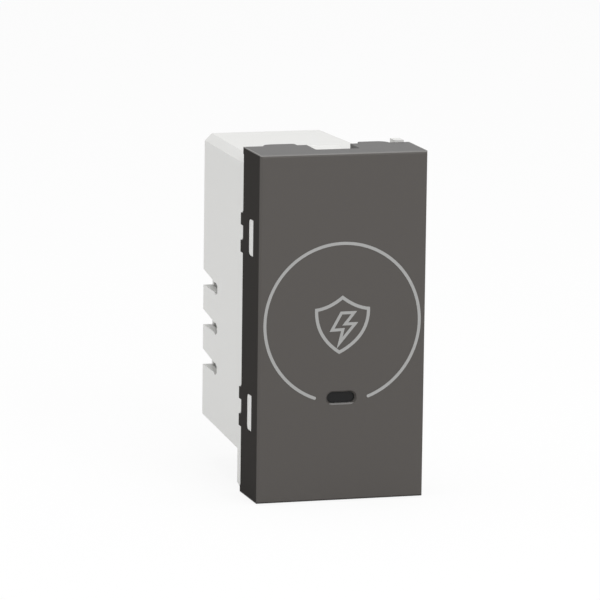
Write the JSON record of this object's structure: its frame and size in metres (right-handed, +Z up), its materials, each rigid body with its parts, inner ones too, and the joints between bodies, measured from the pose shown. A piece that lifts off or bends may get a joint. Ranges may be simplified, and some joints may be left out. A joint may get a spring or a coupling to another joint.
{
  "type": "surge protector module",
  "caption": "Snap-in modular surge protector insert with anthracite front, indicator window, light grey body and rear screw clamps",
  "frame": {"origin": "middle of the seat plane, where the rear rim of the skirt's top and bottom walls lies on the support frame; centred in width and height", "axes": "+X right seen from the front, +Y into the wall (the rear), +Z up"},
  "size_m": [0.0222, 0.0293, 0.0452],
  "materials": {
    "cover_anthracite": "fine satin grain moulded thermoplastic, dark warm grey",
    "housing_light_grey": "satin moulded thermoplastic, light grey",
    "lens_smoke": "polished smoked lens",
    "guide_clear": "polished clear light guide",
    "lamp_body": "cast resin",
    "board_green": "glass fibre laminate with solder mask",
    "varistor_blue": "epoxy dipped",
    "tube_nickel": "plated caps on a fired body",
    "fuse_cream": "resin coated",
    "component_black": "moulded resin",
    "capacitor_red": "flame retardant box",
    "resistor_beige": "lacquered",
    "brass_bar": "stamped strip",
    "zinc_steel": "zinc plated, passivated"
  },
  "bodies": {
    "module": {"front_cover": "cover_anthracite", "indicator_lens": "lens_smoke", "rear_housing": "housing_light_grey", "closing_plate": "housing_light_grey", "light_guide": "guide_clear", "status_lamp": "lamp_body", "circuit_board": "board_green", "varistor_line_neutral": "varistor_blue", "varistor_line_earth": "varistor_blue", "varistor_neutral_earth": "varistor_blue", "gas_discharge_tube": "tube_nickel", "thermal_fuse_line": "fuse_cream", "thermal_fuse_neutral": "fuse_cream", "line_fuse": "component_black", "supply_capacitor": "capacitor_red", "lamp_resistors": "resistor_beige", "lamp_diodes": "component_black", "contact_bar_line": "brass_bar", "contact_bar_neutral": "brass_bar", "contact_bar_earth": "brass_bar"},
    "cage_line": {"clamp_cage_line": "zinc_steel"},
    "screw_line": {"clamp_screw_line": "zinc_steel"},
    "cage_neutral": {"clamp_cage_neutral": "zinc_steel"},
    "screw_neutral": {"clamp_screw_neutral": "zinc_steel"},
    "cage_earth": {"clamp_cage_earth": "zinc_steel"},
    "screw_earth": {"clamp_screw_earth": "zinc_steel"}
  },
  "joints": [
    {"name": "cage_line_rise", "type": "slide", "parent": "module", "child": "cage_line", "axis": [0, 1, 0], "range_m": [0, 0.0014]},
    {"name": "screw_line_turn", "type": "hinge", "parent": "module", "child": "screw_line", "pos_m": [-0.0057, 0.01745, 0.00155], "axis": [0, -1, 0], "range_deg": [0, 1008]},
    {"name": "cage_neutral_rise", "type": "slide", "parent": "module", "child": "cage_neutral", "axis": [0, 1, 0], "range_m": [0, 0.0014]},
    {"name": "screw_neutral_turn", "type": "hinge", "parent": "module", "child": "screw_neutral", "pos_m": [-0.0057, 0.01745, -0.0038], "axis": [0, -1, 0], "range_deg": [0, 1008]},
    {"name": "cage_earth_rise", "type": "slide", "parent": "module", "child": "cage_earth", "axis": [0, 1, 0], "range_m": [0, 0.0014]},
    {"name": "screw_earth_turn", "type": "hinge", "parent": "module", "child": "screw_earth", "pos_m": [-0.0057, 0.01745, -0.00915], "axis": [0, -1, 0], "range_deg": [0, 1008]}
  ],
  "couplings": [
    {"joint": "screw_line_turn", "follows": "cage_line_rise", "rad_per_m": 12566},
    {"joint": "screw_neutral_turn", "follows": "cage_neutral_rise", "rad_per_m": 12566},
    {"joint": "screw_earth_turn", "follows": "cage_earth_rise", "rad_per_m": 12566}
  ]
}
